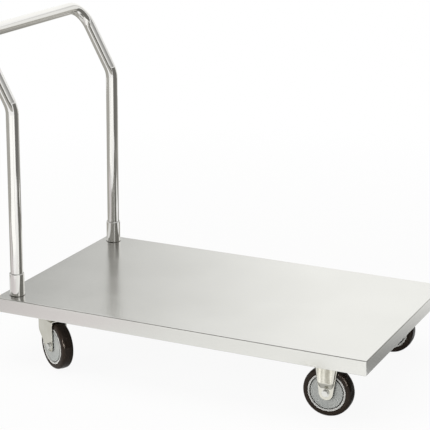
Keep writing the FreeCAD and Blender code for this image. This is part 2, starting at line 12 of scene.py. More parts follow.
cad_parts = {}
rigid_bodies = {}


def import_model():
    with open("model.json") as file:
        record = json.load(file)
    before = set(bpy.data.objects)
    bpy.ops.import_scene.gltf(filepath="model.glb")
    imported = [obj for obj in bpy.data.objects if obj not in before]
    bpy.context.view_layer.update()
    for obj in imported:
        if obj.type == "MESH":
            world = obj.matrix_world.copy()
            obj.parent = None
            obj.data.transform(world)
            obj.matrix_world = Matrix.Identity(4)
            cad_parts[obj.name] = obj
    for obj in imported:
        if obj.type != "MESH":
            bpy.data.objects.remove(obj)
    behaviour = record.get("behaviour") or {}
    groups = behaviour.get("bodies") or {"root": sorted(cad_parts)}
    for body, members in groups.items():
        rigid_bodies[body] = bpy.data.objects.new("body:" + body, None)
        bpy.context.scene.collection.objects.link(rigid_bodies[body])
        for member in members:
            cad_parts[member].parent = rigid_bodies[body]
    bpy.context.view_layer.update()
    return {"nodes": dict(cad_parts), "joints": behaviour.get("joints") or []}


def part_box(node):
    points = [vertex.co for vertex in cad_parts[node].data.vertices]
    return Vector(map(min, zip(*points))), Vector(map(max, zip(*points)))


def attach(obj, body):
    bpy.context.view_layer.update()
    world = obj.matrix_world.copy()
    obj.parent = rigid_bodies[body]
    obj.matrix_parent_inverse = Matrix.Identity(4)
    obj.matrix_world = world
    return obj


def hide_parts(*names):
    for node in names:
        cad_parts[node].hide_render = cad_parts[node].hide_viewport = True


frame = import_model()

MM = 0.001
LOG = logging.getLogger("platform_trolley")
# The body that everything is fixed to which neither rolls nor swivels
CHASSIS = "chassis"
Triple = tuple[float, float, float]
Range = tuple[float, float]
Corners = list[Triple]
UP = Vector((0.0, 0.0, 1.0))
ALONG = Vector((1.0, 0.0, 0.0))

# How near points are that are one point, and the angles that tell flat, smooth and sharp edges apart
MERGE = 0.002 * MM
FLAT_DEGREES = 0.3
SMOOTH_DEGREES = 30.0
SHARP_DEGREES = 35.0
# How many faces go round a broken edge
EDGE_SEGMENTS = 2

# How much of a bump shows, and how many finer layers each noise has
GRAIN_STRENGTH = 0.5
SKIN_STRENGTH = 0.4
GRAIN_DETAIL = 2.0
BLOTCH_DETAIL = 4.0
SKIN_DETAIL = 3.0
DUST_DETAIL = 5.0

# The parts of a noise's range that colour and roughness come from, and the grain's share in roughness
BLOTCH_RANGE = (0.35, 0.65)
DUST_RANGE = (0.4, 0.75)
SHEEN_RANGE = (0.3, 0.7)
GRAIN_SHARE = 0.6
# How far the rounded normal leaves the true one, as their dot product, between no wear and full wear
WEAR_RANGE = (1.0, 0.85)
WEAR_SAMPLES = 4
# From nothing to all of it
FULL_RANGE = (0.0, 1.0)


class Side(Enum):
    """The two long sides, as someone at the handle sees them."""

    LEFT = "left"
    RIGHT = "right"


class CasterKind(Enum):
    """How a caster is fixed, which also says at which end it stands."""

    FIXED = "front"
    SWIVEL = "rear"


class Edge(Enum):
    """How a piece's edges are worked, as the width of the broken edge in metres."""

    CHAMFERED = 0.25 * MM
    SHEARED = 0.4 * MM
    PRESSED = 0.9 * MM


class Bench:
    """Modelling by hand: one piece at a time, with everything else deselected."""

    @staticmethod
    def alone(piece: bpy.types.Object) -> None:
        """Makes a piece the only one selected, and the active one.

        Args:
            piece: The piece to work on.
        """
        bpy.ops.object.select_all(action="DESELECT")
        piece.select_set(True)
        bpy.context.view_layer.objects.active = piece

    @staticmethod
    def smooth(piece: bpy.types.Object) -> None:
        """Shades a piece smoothly, apart from its sharp edges."""
        Bench.alone(piece)
        bpy.ops.object.shade_smooth_by_angle(angle=math.radians(SMOOTH_DEGREES))

    @staticmethod
    def level(piece: bpy.types.Object) -> None:
        """Keeps large faces straight to the eye, and lets only the round ones beside them bend.

        Args:
            piece: The piece, which is the active one.
        """
        modifier = piece.modifiers.new("level_faces", "WEIGHTED_NORMAL")
        modifier.keep_sharp = True
        bpy.ops.object.modifier_apply(modifier=modifier.name)

    @staticmethod
    def copied(node: str, name: str) -> bpy.types.Object:
        """Copies a node's mesh into a new piece, with its points merged and its flat faces joined.

        Args:
            node: The CAD node to copy.
            name: The new piece's name.

        Returns:
            The new piece.
        """
        mesh = frame["nodes"][node].data.copy()
        piece = bpy.data.objects.new(name, mesh)
        mesh.name = name
        bpy.context.scene.collection.objects.link(piece)
        Bench.alone(piece)
        bpy.ops.mesh.customdata_custom_splitnormals_clear()
        bpy.ops.object.mode_set(mode="EDIT")
        bpy.ops.mesh.select_all(action="SELECT")
        bpy.ops.mesh.remove_doubles(threshold=MERGE)
        bpy.ops.mesh.dissolve_limited(angle_limit=math.radians(FLAT_DEGREES))
        bpy.ops.object.mode_set(mode="OBJECT")
        return piece

    @staticmethod
    def deburred(node: str, edge: Edge) -> bpy.types.Object:
        """Copies a node into a new piece and breaks its sharp edges.

        Args:
            node: The CAD node to copy.
            edge: How its edges are worked.

        Returns:
            The new piece.
        """
        piece = Bench.copied(node, node + "_deburred")
        bevel = piece.modifiers.new("broken_edges", "BEVEL")
        bevel.width = edge.value
        bevel.segments = EDGE_SEGMENTS
        bevel.limit_method = "ANGLE"
        bevel.angle_limit = math.radians(SHARP_DEGREES)
        bevel.use_clamp_overlap = False
        bpy.ops.object.modifier_apply(modifier=bevel.name)
        Bench.smooth(piece)
        Bench.level(piece)
        return piece

    @staticmethod
    def twin(piece: bpy.types.Object, name: str, move: Matrix) -> bpy.types.Object:
        """Copies a finished piece to another place, with a mesh of its own.

        Args:
            piece: The piece to copy.
            name: The copy's name.
            move: From the piece's place to the copy's.

        Returns:
            The copy.
        """
        mesh = piece.data.copy()
        mesh.name = name
        mesh.transform(move)
        copy = bpy.data.objects.new(name, mesh)
        bpy.context.scene.collection.objects.link(copy)
        return copy


@dataclass(frozen=True)
class Lathe:
    """A turning axis. Outlines on it are given as distance along the axis and radius from it."""

    centre: Vector
    axis: Vector
    out: Vector
    steps: int = 160
    corner_steps: int = 4

    def place(self) -> Matrix:
        """The axis as a placement, which takes a piece turned on one lathe to another."""
        turn = Matrix((self.axis, self.out, self.axis.cross(self.out))).transposed()
        return Matrix.Translation(self.centre) @ turn.to_4x4()

    def rounded(self, corners: Corners) -> list[Vector]:
        """Rounds the corners of a closed outline and places it beside the axis.

        Args:
            corners: Distance along the axis, radius and corner radius of each corner.

        Returns:
            The outline's points.
        """
        flat = [Vector(corner[:2]) for corner in corners]
        points = []
        for index, corner in enumerate(flat):
            radius = corners[index][2]
            if not radius:
                points.append(corner)
                continue
            back = (flat[index - 1] - corner).normalized()
            ahead = (flat[(index + 1) % len(flat)] - corner).normalized()
            half = back.angle(ahead) / 2
            middle = corner + (back + ahead).normalized() * (radius / math.sin(half))
            first = corner + back * (radius / math.tan(half)) - middle
            last = corner + ahead * (radius / math.tan(half)) - middle
            shares = [step / self.corner_steps for step in range(self.corner_steps + 1)]
            points += [middle + radius * first.slerp(last, share) for share in shares]
        return [self.centre + self.axis * along + self.out * away for along, away in points]

    def turn(self, name: str, outlines: list[Corners]) -> bpy.types.Object:
        """Draws outlines by pulling a point from corner to corner, and spins them a full turn.

        Args:
            name: The new piece's name.
            outlines: The corners of each closed outline, as for rounded.

        Returns:
            The new piece.
        """
        bpy.ops.object.select_all(action="DESELECT")
        bpy.ops.mesh.primitive_plane_add(size=MM)
        piece = bpy.context.object
        piece.name = name
        piece.data.name = name
        bpy.ops.object.mode_set(mode="EDIT")
        bpy.ops.mesh.select_all(action="SELECT")
        bpy.ops.mesh.delete(type="VERT")
        for outline in map(self.rounded, outlines):
            bpy.ops.mesh.select_all(action="DESELECT")
            bpy.ops.mesh.primitive_plane_add(size=MM, location=outline[0])
            bpy.ops.mesh.merge(type="CENTER")
            for here, there in zip(outline, outline[1:] + outline[:1]):
                step = {"value": there - here}
                bpy.ops.mesh.extrude_region_move(TRANSFORM_OT_translate=step)
        bpy.ops.mesh.select_all(action="SELECT")
        bpy.ops.mesh.remove_doubles(threshold=MERGE)
        bpy.ops.mesh.spin(steps=self.steps, angle=2 * math.pi, center=self.centre, axis=self.axis)
        bpy.ops.mesh.select_all(action="SELECT")
        bpy.ops.mesh.remove_doubles(threshold=MERGE)
        bpy.ops.mesh.normals_make_consistent(inside=False)
        bpy.ops.object.mode_set(mode="OBJECT")
        Bench.smooth(piece)
        Bench.level(piece)
        return piece


@dataclass
class Patterns:
    """Turned pieces that repeat: each is turned once, and copied wherever else it stands."""

    made: dict[str, tuple[Lathe, bpy.types.Object]] = field(default_factory=dict)

    def turned(self, kind: str, owner: str, lathe: Lathe, outlines: list[Corners]) -> bpy.types.Object:
        """Turns a piece the first time, and copies it after that.

        Args:
            kind: What the piece is, the same wherever it repeats.
            owner: What it belongs to, which starts its name.
            lathe: The axis that it stands on.
            outlines: The corners of its outlines.

        Returns:
            The new piece.
        """
        name = owner + "_" + kind
        if kind not in self.made:
            self.made[kind] = (lathe, lathe.turn(name, outlines))
            return self.made[kind][1]
        first, piece = self.made[kind]
        return Bench.twin(piece, name, lathe.place() @ first.place().inverted())


class Tree:
    """A node tree with short calls for the nodes that the finishes and the studio share."""

    def __init__(self, tree: bpy.types.NodeTree) -> None:
        """Takes over a tree and empties it.

        Args:
            tree: The node tree of a material or a world.
        """
        self.tree = tree
        self.tree.nodes.clear()

    def node(self, kind: str, **settings: object) -> bpy.types.Node:
        """Adds a node.

        Args:
            kind: The node's type name.
            settings: Attributes to set on it.

        Returns:
            The new node.
        """
        made = self.tree.nodes.new(kind)
        for key, value in settings.items():
            setattr(made, key, value)
        return made

    def link(self, source: bpy.types.NodeSocket, target: bpy.types.NodeSocket) -> None:
        """Wires one socket to another."""
        self.tree.links.new(source, target)

    def spread(self, value: bpy.types.NodeSocket, source: Range, target: Range) -> bpy.types.NodeSocket:
        """Maps one range of a value to another, held at both ends.

        Args:
            value: The value to map.
            source: The range it comes in.
            target: The range it leaves in.

        Returns:
            The mapped value.
        """
        mapped = self.node("ShaderNodeMapRange")
        self.link(value, mapped.inputs["Value"])
        for key, number in zip(("From Min", "From Max", "To Min", "To Max"), source + target):
            mapped.inputs[key].default_value = number
        return mapped.outputs["Result"]

    def tint(self, value: bpy.types.NodeSocket, low: Triple, high: Triple) -> bpy.types.NodeSocket:
        """Finds a colour between two.

        Args:
            value: How near the colour is to the second one, from 0 to 1.
            low: The colour at 0.
            high: The colour at 1.

        Returns:
            The colour.
        """
        mix = self.node("ShaderNodeMix", data_type="RGBA")
        self.link(value, mix.inputs["Factor"])
        mix.inputs["A"].default_value = (*low, 1.0)
        mix.inputs["B"].default_value = (*high, 1.0)
        return mix.outputs["Result"]

    def mixed(self, share: bpy.types.NodeSocket, first: bpy.types.NodeSocket,
              second: bpy.types.NodeSocket) -> bpy.types.NodeSocket:
        """Mixes two shaders.

        Args:
            share: How much of the second shader shows, from 0 to 1.
            first: The first shader.
            second: The second shader.

        Returns:
            The mixed shader.
        """
        mix = self.node("ShaderNodeMixShader")
        self.link(share, mix.inputs["Fac"])
        self.link(first, mix.inputs[1])
        self.link(second, mix.inputs[2])
        return mix.outputs["Shader"]

    def combine(self, operation: str, first: bpy.types.NodeSocket,
                second: bpy.types.NodeSocket | float) -> bpy.types.NodeSocket:
        """Works out one value from two, or from a value and a number.

        Args:
            operation: What is done with them, such as ADD.
            first: The first value.
            second: The second value or number.

        Returns:
            The result.
        """
        made = self.node("ShaderNodeMath", operation=operation)
        self.link(first, made.inputs[0])
        if isinstance(second, float):
            made.inputs[1].default_value = second
        else:
            self.link(second, made.inputs[1])
        return made.outputs["Value"]

    def seen(self) -> bpy.types.NodeSocket:
        """Picks the rays that show the white surround: from the eye, off a mirror or through glass.

        Returns:
            1 on such a ray and 0 on the others, which only carry light.
        """
        paths = self.node("ShaderNodeLightPath")
        mirrors = self.combine("MAXIMUM", paths.outputs["Is Glossy Ray"],
                               paths.outputs["Is Transmission Ray"])
        return self.combine("MAXIMUM", mirrors, paths.outputs["Is Camera Ray"])


class Graph(Tree):
    """The node tree of one material."""

    def __init__(self, name: str) -> None:
        """Starts a material with one principled shader wired to the output.

        Args:
            name: The material's name.
        """
        self.material = bpy.data.materials.new(name)
        self.material.use_nodes = True
        super().__init__(self.material.node_tree)
        self.shader = self.node("ShaderNodeBsdfPrincipled")
        self.output = self.node("ShaderNodeOutputMaterial")
        self.link(self.shader.outputs["BSDF"], self.output.inputs["Surface"])

    def constant(self, **values: object) -> None:
        """Sets the shader's own sockets, named with underscores in place of spaces."""
        for key, value in values.items():
            self.shader.inputs[key.replace("_", " ").title()].default_value = value

    def noise(self, stretch: Triple, detail: float) -> bpy.types.NodeSocket:
        """Noise in the piece's own coordinates.

        Args:
            stretch: How many times per metre the noise repeats along each axis.
            detail: How many finer layers it has.

        Returns:
            The noise, from 0 to 1 and mostly near the middle.
        """
        coords = self.node("ShaderNodeTexCoord")
        mapping = self.node("ShaderNodeMapping")
        mapping.inputs["Scale"].default_value = stretch
        noise = self.node("ShaderNodeTexNoise")
        noise.inputs["Scale"].default_value = 1.0
        noise.inputs["Detail"].default_value = detail
        self.link(coords.outputs["Object"], mapping.inputs["Vector"])
        self.link(mapping.outputs["Vector"], noise.inputs["Vector"])
        return noise.outputs["Fac"]

    def bump(self, height: bpy.types.NodeSocket, depth: float, strength: float) -> None:
        """Raises the surface by a height.

        Args:
            height: The height, from 0 to 1.
            depth: How deep a height of 1 is, in metres.
            strength: How much of it shows.
        """
        bump = self.node("ShaderNodeBump")
        bump.inputs["Strength"].default_value = strength
        bump.inputs["Distance"].default_value = depth
        self.link(height, bump.inputs["Height"])
        self.link(bump.outputs["Normal"], self.shader.inputs["Normal"])

    def edge_wear(self, radius: float) -> bpy.types.NodeSocket:
        """Finds edges, where the rounded normal leaves the true one.

        Args:
            radius: How far from an edge the wear reaches.

        Returns:
            0 on flat faces, rising to 1 on edges.
        """
        bevel = self.node("ShaderNodeBevel", samples=WEAR_SAMPLES)
        bevel.inputs["Radius"].default_value = radius
        geometry = self.node("ShaderNodeNewGeometry")
        dot = self.node("ShaderNodeVectorMath", operation="DOT_PRODUCT")
        self.link(bevel.outputs["Normal"], dot.inputs[0])
        self.link(geometry.outputs["Normal"], dot.inputs[1])
        return self.spread(dot.outputs["Value"], WEAR_RANGE, FULL_RANGE)


@dataclass(frozen=True)
class MetalFinish:
    """A bare or plated metal with a grain, soft blotches and bright edges.

    Grain and blotch are how many times per metre they repeat, and depths and radii are in metres.
    """

    name: str
    slot: str
    tone: Triple
    blotch_tone: Triple
    edge_tone: Triple
    roughness: Range
    grain: Triple
    grain_depth: float
    blotch: float
    edge_radius: float = 0.8 * MM

    def material(self) -> bpy.types.Material:
        """Builds the finish as a material.

        Returns:
            The material.
        """
        graph = Graph(self.name)
        grain = graph.noise(self.grain, GRAIN_DETAIL)
        blotch = graph.noise((self.blotch,) * 3, BLOTCH_DETAIL)
        base = graph.tint(graph.spread(blotch, BLOTCH_RANGE, FULL_RANGE), self.blotch_tone, self.tone)
        wear = graph.edge_wear(self.edge_radius)
        mix = graph.node("ShaderNodeMix", data_type="RGBA")
        graph.link(wear, mix.inputs["Factor"])
        graph.link(base, mix.inputs["A"])
        mix.inputs["B"].default_value = (*self.edge_tone, 1.0)
        graph.link(mix.outputs["Result"], graph.shader.inputs["Base Color"])
        both = graph.combine("ADD", graph.combine("MULTIPLY", grain, GRAIN_SHARE),
                             graph.combine("MULTIPLY", blotch, 1.0 - GRAIN_SHARE))
        graph.link(graph.spread(both, SHEEN_RANGE, self.roughness), graph.shader.inputs["Roughness"])
        graph.bump(grain, self.grain_depth, GRAIN_STRENGTH)
        graph.constant(metallic=1.0)
        return graph.material


@dataclass(frozen=True)
class MouldedFinish:
    """Moulded rubber or plastic with a fine skin and faint dust.

    Skin and dust are how many times per metre they repeat, and the skin's depth is in metres.
    """

    name: str
    slot: str
    tone: Triple
    dust_tone: Triple
    roughness: Range
    skin: float
    skin_depth: float
    dust: float
    dust_share: float
    specular: float = 0.5

    def material(self) -> bpy.types.Material:
        """Builds the finish as a material.

        Returns:
            The material.
        """
        graph = Graph(self.name)
        skin = graph.noise((self.skin,) * 3, SKIN_DETAIL)
        dust = graph.noise((self.dust,) * 3, DUST_DETAIL)
        share = graph.spread(dust, DUST_RANGE, (0.0, self.dust_share))
        graph.link(graph.tint(share, self.tone, self.dust_tone), graph.shader.inputs["Base Color"])
        graph.link(graph.spread(dust, SHEEN_RANGE, self.roughness), graph.shader.inputs["Roughness"])
        graph.bump(skin, self.skin_depth, SKIN_STRENGTH)
        graph.shader.inputs["Specular IOR Level"].default_value = self.specular
        return graph.material


Finish = MetalFinish | MouldedFinish

DECK_STEEL = MetalFinish(
    name="brushed_deck_steel", slot="deck_steel",
    tone=(0.845, 0.843, 0.818), blotch_tone=(0.815, 0.813, 0.788), edge_tone=(0.90, 0.90, 0.88),
    roughness=(0.16, 0.26), grain=(4.0, 900.0, 900.0), grain_depth=0.02 * MM, blotch=5.0)
TUBE_STEEL = MetalFinish(
    name="polished_tube_steel", slot="tube_steel",
    tone=(0.88, 0.87, 0.85), blotch_tone=(0.85, 0.84, 0.82), edge_tone=(0.94, 0.94, 0.92),
    roughness=(0.05, 0.11), grain=(220.0, 220.0, 14.0), grain_depth=0.0002 * MM, blotch=9.0)
# The weld's near-black tone is painted shade: it stands for the dark contact ring at each socket's foot,
# laid on the real weld bead
WELD_PAINTED_SHADE = MetalFinish(
    name="weld_steel", slot="tube_steel",
    tone=(0.13, 0.12, 0.105), blotch_tone=(0.07, 0.065, 0.055), edge_tone=(0.22, 0.21, 0.19),
    roughness=(0.26, 0.42), grain=(340.0, 340.0, 340.0), grain_depth=0.25 * MM, blotch=120.0)
CASTER_ZINC = MetalFinish(
    name="bright_caster_zinc", slot="caster_zinc",
    tone=(0.76, 0.745, 0.68), blotch_tone=(0.70, 0.685, 0.615), edge_tone=(0.90, 0.885, 0.84),
    roughness=(0.05, 0.10), grain=(260.0, 260.0, 260.0), grain_depth=0.002 * MM, blotch=38.0)
FASTENER_ZINC = MetalFinish(
    name="bright_fastener_zinc", slot="fastener_steel",
    tone=(0.80, 0.80, 0.78), blotch_tone=(0.72, 0.72, 0.70), edge_tone=(0.94, 0.94, 0.92),
    roughness=(0.12, 0.24), grain=(420.0, 420.0, 420.0), grain_depth=0.01 * MM, blotch=90.0,
    edge_radius=0.5 * MM)
BEARING_STEEL = MetalFinish(
    name="ground_bearing_steel", slot="bearing_steel",
    tone=(0.66, 0.66, 0.67), blotch_tone=(0.60, 0.60, 0.61), edge_tone=(0.80, 0.80, 0.80),
    roughness=(0.12, 0.22), grain=(300.0, 300.0, 1500.0), grain_depth=0.008 * MM, blotch=60.0,
    edge_radius=0.4 * MM)
TYRE_RUBBER = MouldedFinish(
    name="tyre_rubber", slot="tyre_rubber", tone=(0.018, 0.0125, 0.009), dust_tone=(0.028, 0.021, 0.016),
    roughness=(0.12, 0.20), skin=500.0, skin_depth=0.003 * MM, dust=26.0, dust_share=0.5, specular=0.14)
RIM_PLASTIC = MouldedFinish(
    name="rim_plastic", slot="core_plastic", tone=(0.39, 0.39, 0.375), dust_tone=(0.45, 0.445, 0.425),
    roughness=(0.48, 0.62), skin=500.0, skin_depth=0.008 * MM, dust=34.0, dust_share=0.6, specular=0.3)
COVER_PLASTIC = MouldedFinish(
    name="cover_plastic", slot="core_plastic", tone=(0.27, 0.28, 0.27), dust_tone=(0.33, 0.335, 0.32),
    roughness=(0.42, 0.58), skin=500.0, skin_depth=0.012 * MM, dust=34.0, dust_share=0.6)


# How the studio's cards are turned, in degrees
LYING = (0.0, 0.0, 0.0)
STANDING_ALONG_X = (90.0, 0.0, 0.0)
STANDING_ALONG_Y = (0.0, -90.0, 0.0)
LEFT_TURN = (0.0, 0.0, -28.0)
STAND_TURN = (0.0, 0.0, 30.4)
PANEL_TURN = (0.0, 0.0, -20.7)
# The colours of light and of the cards, which are cloth up to a tone of CLOTH_TONE and paper above it
WHITE = (1.0, 1.0, 1.0)
WARM = (1.0, 0.86, 0.74)
ROSY = (0.965, 0.92, 0.92)
PAPER_TINT = (1.0, 1.0, 0.98)
CLOTH_TINT = (1.0, 0.98, 0.91)
CLOTH_TONE = 0.6
# What the tyres' names end with, which alone take the strip lamps' gloss
TYRE = "tyre_moulded"


@dataclass(frozen=True)
class Card:
    """A flat studio card that shows only in what the metal mirrors, plain or graded along X or Y.

    The tones are those at both ends of the grading, and a plain card's are alike.
    """

    name: str
    place: Triple
    turn: Triple
    size: Range
    tones: Range
    graded_over: Range = FULL_RANGE
    graded_along: str = "X"
    low_tint: Triple | None = None
    tinted_over: Range = FULL_RANGE

    def build(self) -> None:
        """Stands the card in its place."""
        bpy.ops.object.select_all(action="DESELECT")
        turn = tuple(math.radians(angle) for angle in self.turn)
        bpy.ops.mesh.primitive_plane_add(size=1.0, location=self.place, rotation=turn)
        card = bpy.context.object
        card.name = self.name
        card.scale = (*self.size, 1.0)
        bpy.ops.object.transform_apply(location=True, rotation=True, scale=True)
        graph = Graph(self.name + "_paper")
        coords = graph.node("ShaderNodeTexCoord")
        split = graph.node("ShaderNodeSeparateXYZ")
        graph.link(coords.outputs["Object"], split.inputs["Vector"])
        paper = graph.node("ShaderNodeEmission")
        tint = PAPER_TINT if max(self.tones) > CLOTH_TONE else CLOTH_TINT
        paper.inputs["Color"].default_value = (*tint, 1.0)
        along = split.outputs[self.graded_along]
        if self.low_tint:
            share = graph.spread(along, self.tinted_over, FULL_RANGE)
            graph.link(graph.tint(share, self.low_tint, tint), paper.inputs["Color"])
        graph.link(graph.spread(along, self.graded_over, self.tones), paper.inputs["Strength"])
        graph.link(paper.outputs["Emission"], graph.output.inputs["Surface"])
        card.data.materials.append(graph.material)
        card.visible_camera = False
        card.visible_diffuse = False
        card.visible_shadow = False


@dataclass(frozen=True)
class Lamp:
    """A soft rectangular lamp that faces a target, or gives a gloss only to pieces whose names end alike."""

    name: str
    place: Triple
    target: Triple
    size: Range
    watts: float
    only_on: str = ""
    tint: Triple = WHITE

    def build(self) -> None:
        """Hangs the lamp."""
        light = bpy.data.lights.new(self.name, "AREA")
        light.shape = "RECTANGLE"
        light.size, light.size_y = self.size
        light.energy = self.watts
        light.color = self.tint
        lamp = bpy.data.objects.new(self.name, light)
        bpy.context.scene.collection.objects.link(lamp)
        lamp.location = self.place
        aim = Vector(self.target) - Vector(self.place)
        lamp.rotation_euler = aim.to_track_quat("-Z", "Y").to_euler()
        lamp.visible_camera = False
        lamp.visible_glossy = bool(self.only_on)
        lamp.visible_diffuse = not self.only_on
        if self.only_on:
            lit = bpy.data.collections.new(self.name + "_lit")
            for piece in bpy.context.scene.objects:
                if piece.name.endswith(self.only_on):
                    lit.objects.link(piece)
            lamp.light_linking.receiver_collection = lit


@dataclass
class Studio:
    """White sweep and white surround, soft lamps, and cards that give the metal a bright and a dark side."""

    floor_half: float = 20.0
    floor_tone: Triple = (0.70, 0.695, 0.68)
    floor_roughness: float = 0.7
    # How much of the white shows on the floor, near the trolley and away from it, and how far off these are
    white_share: Range = (0.93, 1.0)
    white_reach: Range = (0.9, 2.6)
    fill: float = 0.20

    LAMPS: ClassVar[tuple[Lamp, ...]] = (
        Lamp("key_lamp", (-5.0, -4.0, 3.4), (0.0, 0.0, 0.2), (1.8, 1.8), 160.0),
        Lamp("low_lamp", (-1.5, -4.2, 0.45), (0.2, 0.0, 0.1), (3.0, 0.5), 150.0),
        Lamp("top_lamp", (0.0, 0.0, 4.0), (0.0, 0.0, 0.0), (4.0, 4.0), 130.0),
        Lamp("left_strip", (0.0, -4.0, 1.0), (-0.3, -0.25, 0.1), (0.45, 1.8), 170.0, only_on=TYRE,
             tint=WARM),
        Lamp("right_strip", (2.5, -4.0, 1.0), (0.45, -0.25, 0.1), (0.45, 1.8), 170.0, only_on=TYRE,
             tint=WARM))
    # Cloths that overlap lie a millimetre or more apart in height, and the upper one shows
    CARDS: ClassVar[tuple[Card, ...]] = (
        Card("right_flag", (1.35, 0.6, 0.7), STANDING_ALONG_Y, (1.4, 3.2), (0.17, 0.17)),
        Card("right_wall", (3.0, -0.3, 3.2), STANDING_ALONG_Y, (2.0, 6.2), (0.66, 0.34),
             graded_over=(-3.0, 0.5), graded_along="Y"),
        Card("back_card", (-3.1, 3.0, 1.1), STANDING_ALONG_X, (6.0, 2.2), (0.46, 1.0),
             graded_over=(-2.45, -0.75)),
        Card("back_right_low_card", (1.6, 3.3, 0.25), STANDING_ALONG_X, (3.0, 0.5), (0.60, 0.60)),
        Card("back_right_card", (1.6, 3.3, 1.2), STANDING_ALONG_X, (3.0, 1.4), (0.90, 0.90)),
        Card("back_right_high_card", (1.6, 3.3, 2.25), STANDING_ALONG_X, (3.0, 0.7), (0.74, 0.74)),
        Card("bar_card", (-0.85, 0.7, 1.15), STANDING_ALONG_X, (0.9, 0.7), (1.06, 1.06)),
        Card("front_low_card", (-0.5, -5.2, 0.95), STANDING_ALONG_X, (13.0, 1.3), (0.42, 0.42)),
        Card("front_card", (-0.5, -5.2, 2.25), STANDING_ALONG_X, (13.0, 1.3), (0.16, 0.16)),
        Card("front_softbox", (-0.5, -5.2, 3.5), STANDING_ALONG_X, (13.0, 1.2), (0.95, 0.95)),
        Card("left_flag", (-3.0, -1.25, 1.3), STANDING_ALONG_Y, (0.8, 3.5), (0.15, 0.15)),
        Card("ceiling", (-2.2, -2.25, 4.0), LYING, (5.6, 5.9), (0.13, 0.13)),
        Card("left_cloth", (-1.96, 0.05, 0.002), LEFT_TURN, (3.0, 5.0), (0.42, 0.42)),
        Card("right_cloth", (2.43, 1.45, 0.003), LYING, (3.15, 3.9), (0.24, 0.24)),
        # Painted shadow: the trolley's shadow on the floor beside the deck's right end, dark beside the deck
        # and growing light behind it
        Card("end_cloth", (0.705, 0.50, 0.003), LYING, (0.29, 1.0), (0.31, 0.92),
             graded_over=(0.14, 0.80), graded_along="Y"),
        Card("back_cloth", (-1.58, 2.2, 0.004), LYING, (4.85, 2.4), (0.28, 0.52),
             graded_over=(1.1, 2.0), graded_along="Y"),
        Card("front_cloth", (-0.4, -0.685, 0.004), LYING, (2.4, 0.53), (0.68, 0.97),
             graded_over=(-0.75, 0.40), low_tint=ROSY, tinted_over=(-0.40, -0.18)),
        Card("fork_cloth", (-0.775, -0.06, 0.004), LYING, (0.65, 0.72), (0.71, 0.71)),
        Card("front_panel", (0.4, -2.3, 0.003), LYING, (3.4, 2.3), (1.15, 1.15)),
        # Painted shadow: a grey strip on the floor towards the camera, for a stand's shadow, which the posts
        # mirror as a thin darker line
        Card("stand_cloth", (0.85, -2.2, 0.004), STAND_TURN, (0.25, 2.4), (0.85, 0.85)),
        # Painted highlights and painted reflection: glowing strips and a darker patch that the near fixed
        # bracket's panel mirrors as its vertical streaks and the bands between them
        Card("bracket_cloth", (0.330, -0.515, 0.006), PANEL_TURN, (0.055, 0.17), (0.56, 0.56)),
        Card("left_gleam", (0.313, -0.515, 0.007), PANEL_TURN, (0.006, 0.17), (1.5, 1.5)),
        Card("middle_gleam", (0.324, -0.515, 0.007), PANEL_TURN, (0.006, 0.17), (1.25, 1.25)),
        Card("right_gleam", (0.345, -0.515, 0.007), PANEL_TURN, (0.006, 0.17), (1.5, 1.5)),
        # Painted shade: a dark patch beside the near fixed wheel, under the deck's end, that darkens what
        # its tread mirrors
        Card("tread_cloth", (0.565, -0.12, 0.006), LYING, (0.13, 0.24), (0.12, 0.12)),
        # Painted shadow: a sheet that stands for the trolley's own shadow under the deck, light in front and
        # dark under it, seen only in what the metal mirrors
        Card("shade_cloth", (0.04, -0.02, 0.005), LYING, (0.92, 0.76), (0.97, 0.32),
             graded_over=(-0.335, -0.235), graded_along="Y"))

    def floor(self) -> None:
        """Adds the sweep: white to the eye, with the trolley's soft shadow, and see-through from below."""
        bpy.ops.object.select_all(action="DESELECT")
        bpy.ops.mesh.primitive_plane_add(size=2 * self.floor_half)
        floor = bpy.context.object
        floor.name = "floor"
        graph = Graph("white_sweep")
        graph.constant(base_color=(*self.floor_tone, 1.0), roughness=self.floor_roughness)
        white = graph.node("ShaderNodeEmission")
        coords = graph.node("ShaderNodeTexCoord")
        away = graph.node("ShaderNodeVectorMath", operation="LENGTH")
        graph.link(coords.outputs["Object"], away.inputs[0])
        white_share = graph.spread(away.outputs["Value"], self.white_reach, self.white_share)
        share = graph.combine("MULTIPLY", graph.seen(), white_share)
        sweep = graph.mixed(share, graph.shader.outputs["BSDF"], white.outputs["Emission"])
        geometry = graph.node("ShaderNodeNewGeometry")
        clear = graph.node("ShaderNodeBsdfTransparent")
        one_sided = graph.mixed(geometry.outputs["Backfacing"], sweep, clear.outputs["BSDF"])
        graph.link(one_sided, graph.output.inputs["Surface"])
        floor.data.materials.append(graph.material)

    def surround(self) -> None:
        """Shows white to the eye and in what the metal mirrors, and fills the scene with an even light."""
        world = bpy.data.worlds.new("surround")
        bpy.context.scene.world = world
        world.use_nodes = True
        sky = Tree(world.node_tree)
        fill = sky.node("ShaderNodeBackground")
        fill.inputs["Color"].default_value = (*WHITE, 1.0)
        fill.inputs["Strength"].default_value = self.fill
        white = sky.node("ShaderNodeBackground")
        white.inputs["Color"].default_value = (*WHITE, 1.0)
        output = sky.node("ShaderNodeOutputWorld")
        both = sky.mixed(sky.seen(), fill.outputs["Background"], white.outputs["Background"])
        sky.link(both, output.inputs["Surface"])

    def build(self) -> None:
        """Builds the sweep, the cards, the lamps and the surround."""
        self.floor()
        for piece in self.CARDS + self.LAMPS:
            piece.build()
        self.surround()
        bpy.context.scene.view_settings.view_transform = "Standard"


